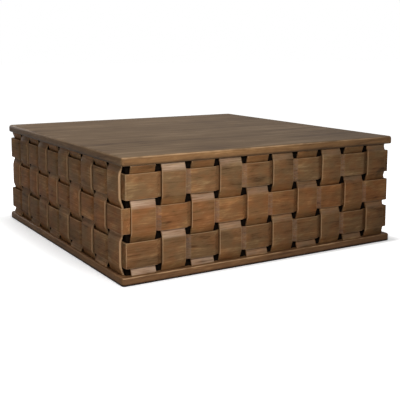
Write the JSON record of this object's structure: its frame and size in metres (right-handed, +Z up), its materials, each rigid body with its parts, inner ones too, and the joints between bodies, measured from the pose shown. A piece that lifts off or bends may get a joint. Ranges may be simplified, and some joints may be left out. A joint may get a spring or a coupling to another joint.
{
  "type": "woven-sided square coffee table",
  "caption": "Low square coffee table with flat top and base slabs and sides of flat wooden strips in a plain over and under weave that runs round the corners.",
  "frame": {"origin": "on the floor under the middle of the table", "axes": "+Z up, +X to the right along the front side, front side at -Y"},
  "size_m": [1.219, 1.219, 0.436],
  "materials": {
    "top_wood": "taupe-brown stain, satin",
    "base_wood": "brown stain, satin",
    "band_wood": "warm brown stain, satin",
    "upright_wood": "warm brown stain, satin",
    "carcass_wood": "near-black stain, matt"
  },
  "bodies": {
    "root": {"top_slab": "top_wood", "base_slab": "base_wood", "front_band_lower": "band_wood", "front_band_middle": "band_wood", "front_band_upper": "band_wood", "right_band_lower": "band_wood", "right_band_middle": "band_wood", "right_band_upper": "band_wood", "back_band_lower": "band_wood", "back_band_middle": "band_wood", "back_band_upper": "band_wood", "left_band_lower": "band_wood", "left_band_middle": "band_wood", "left_band_upper": "band_wood", "front_upright_01": "upright_wood", "front_upright_02": "upright_wood", "front_upright_03": "upright_wood", "front_upright_04": "upright_wood", "front_upright_05": "upright_wood", "front_upright_06": "upright_wood", "front_upright_07": "upright_wood", "front_upright_08": "upright_wood", "front_upright_09": "upright_wood", "front_upright_10": "upright_wood", "right_upright_01": "upright_wood", "right_upright_02": "upright_wood", "right_upright_03": "upright_wood", "right_upright_04": "upright_wood", "right_upright_05": "upright_wood", "right_upright_06": "upright_wood", "right_upright_07": "upright_wood", "right_upright_08": "upright_wood", "right_upright_09": "upright_wood", "right_upright_10": "upright_wood", "back_upright_01": "upright_wood", "back_upright_02": "upright_wood", "back_upright_03": "upright_wood", "back_upright_04": "upright_wood", "back_upright_05": "upright_wood", "back_upright_06": "upright_wood", "back_upright_07": "upright_wood", "back_upright_08": "upright_wood", "back_upright_09": "upright_wood", "back_upright_10": "upright_wood", "left_upright_01": "upright_wood", "left_upright_02": "upright_wood", "left_upright_03": "upright_wood", "left_upright_04": "upright_wood", "left_upright_05": "upright_wood", "left_upright_06": "upright_wood", "left_upright_07": "upright_wood", "left_upright_08": "upright_wood", "left_upright_09": "upright_wood", "left_upright_10": "upright_wood", "front_carcass_panel": "carcass_wood", "right_carcass_panel": "carcass_wood", "back_carcass_panel": "carcass_wood", "left_carcass_panel": "carcass_wood", "left_top_bearer": "carcass_wood", "right_top_bearer": "carcass_wood"}
  },
  "joints": []
}
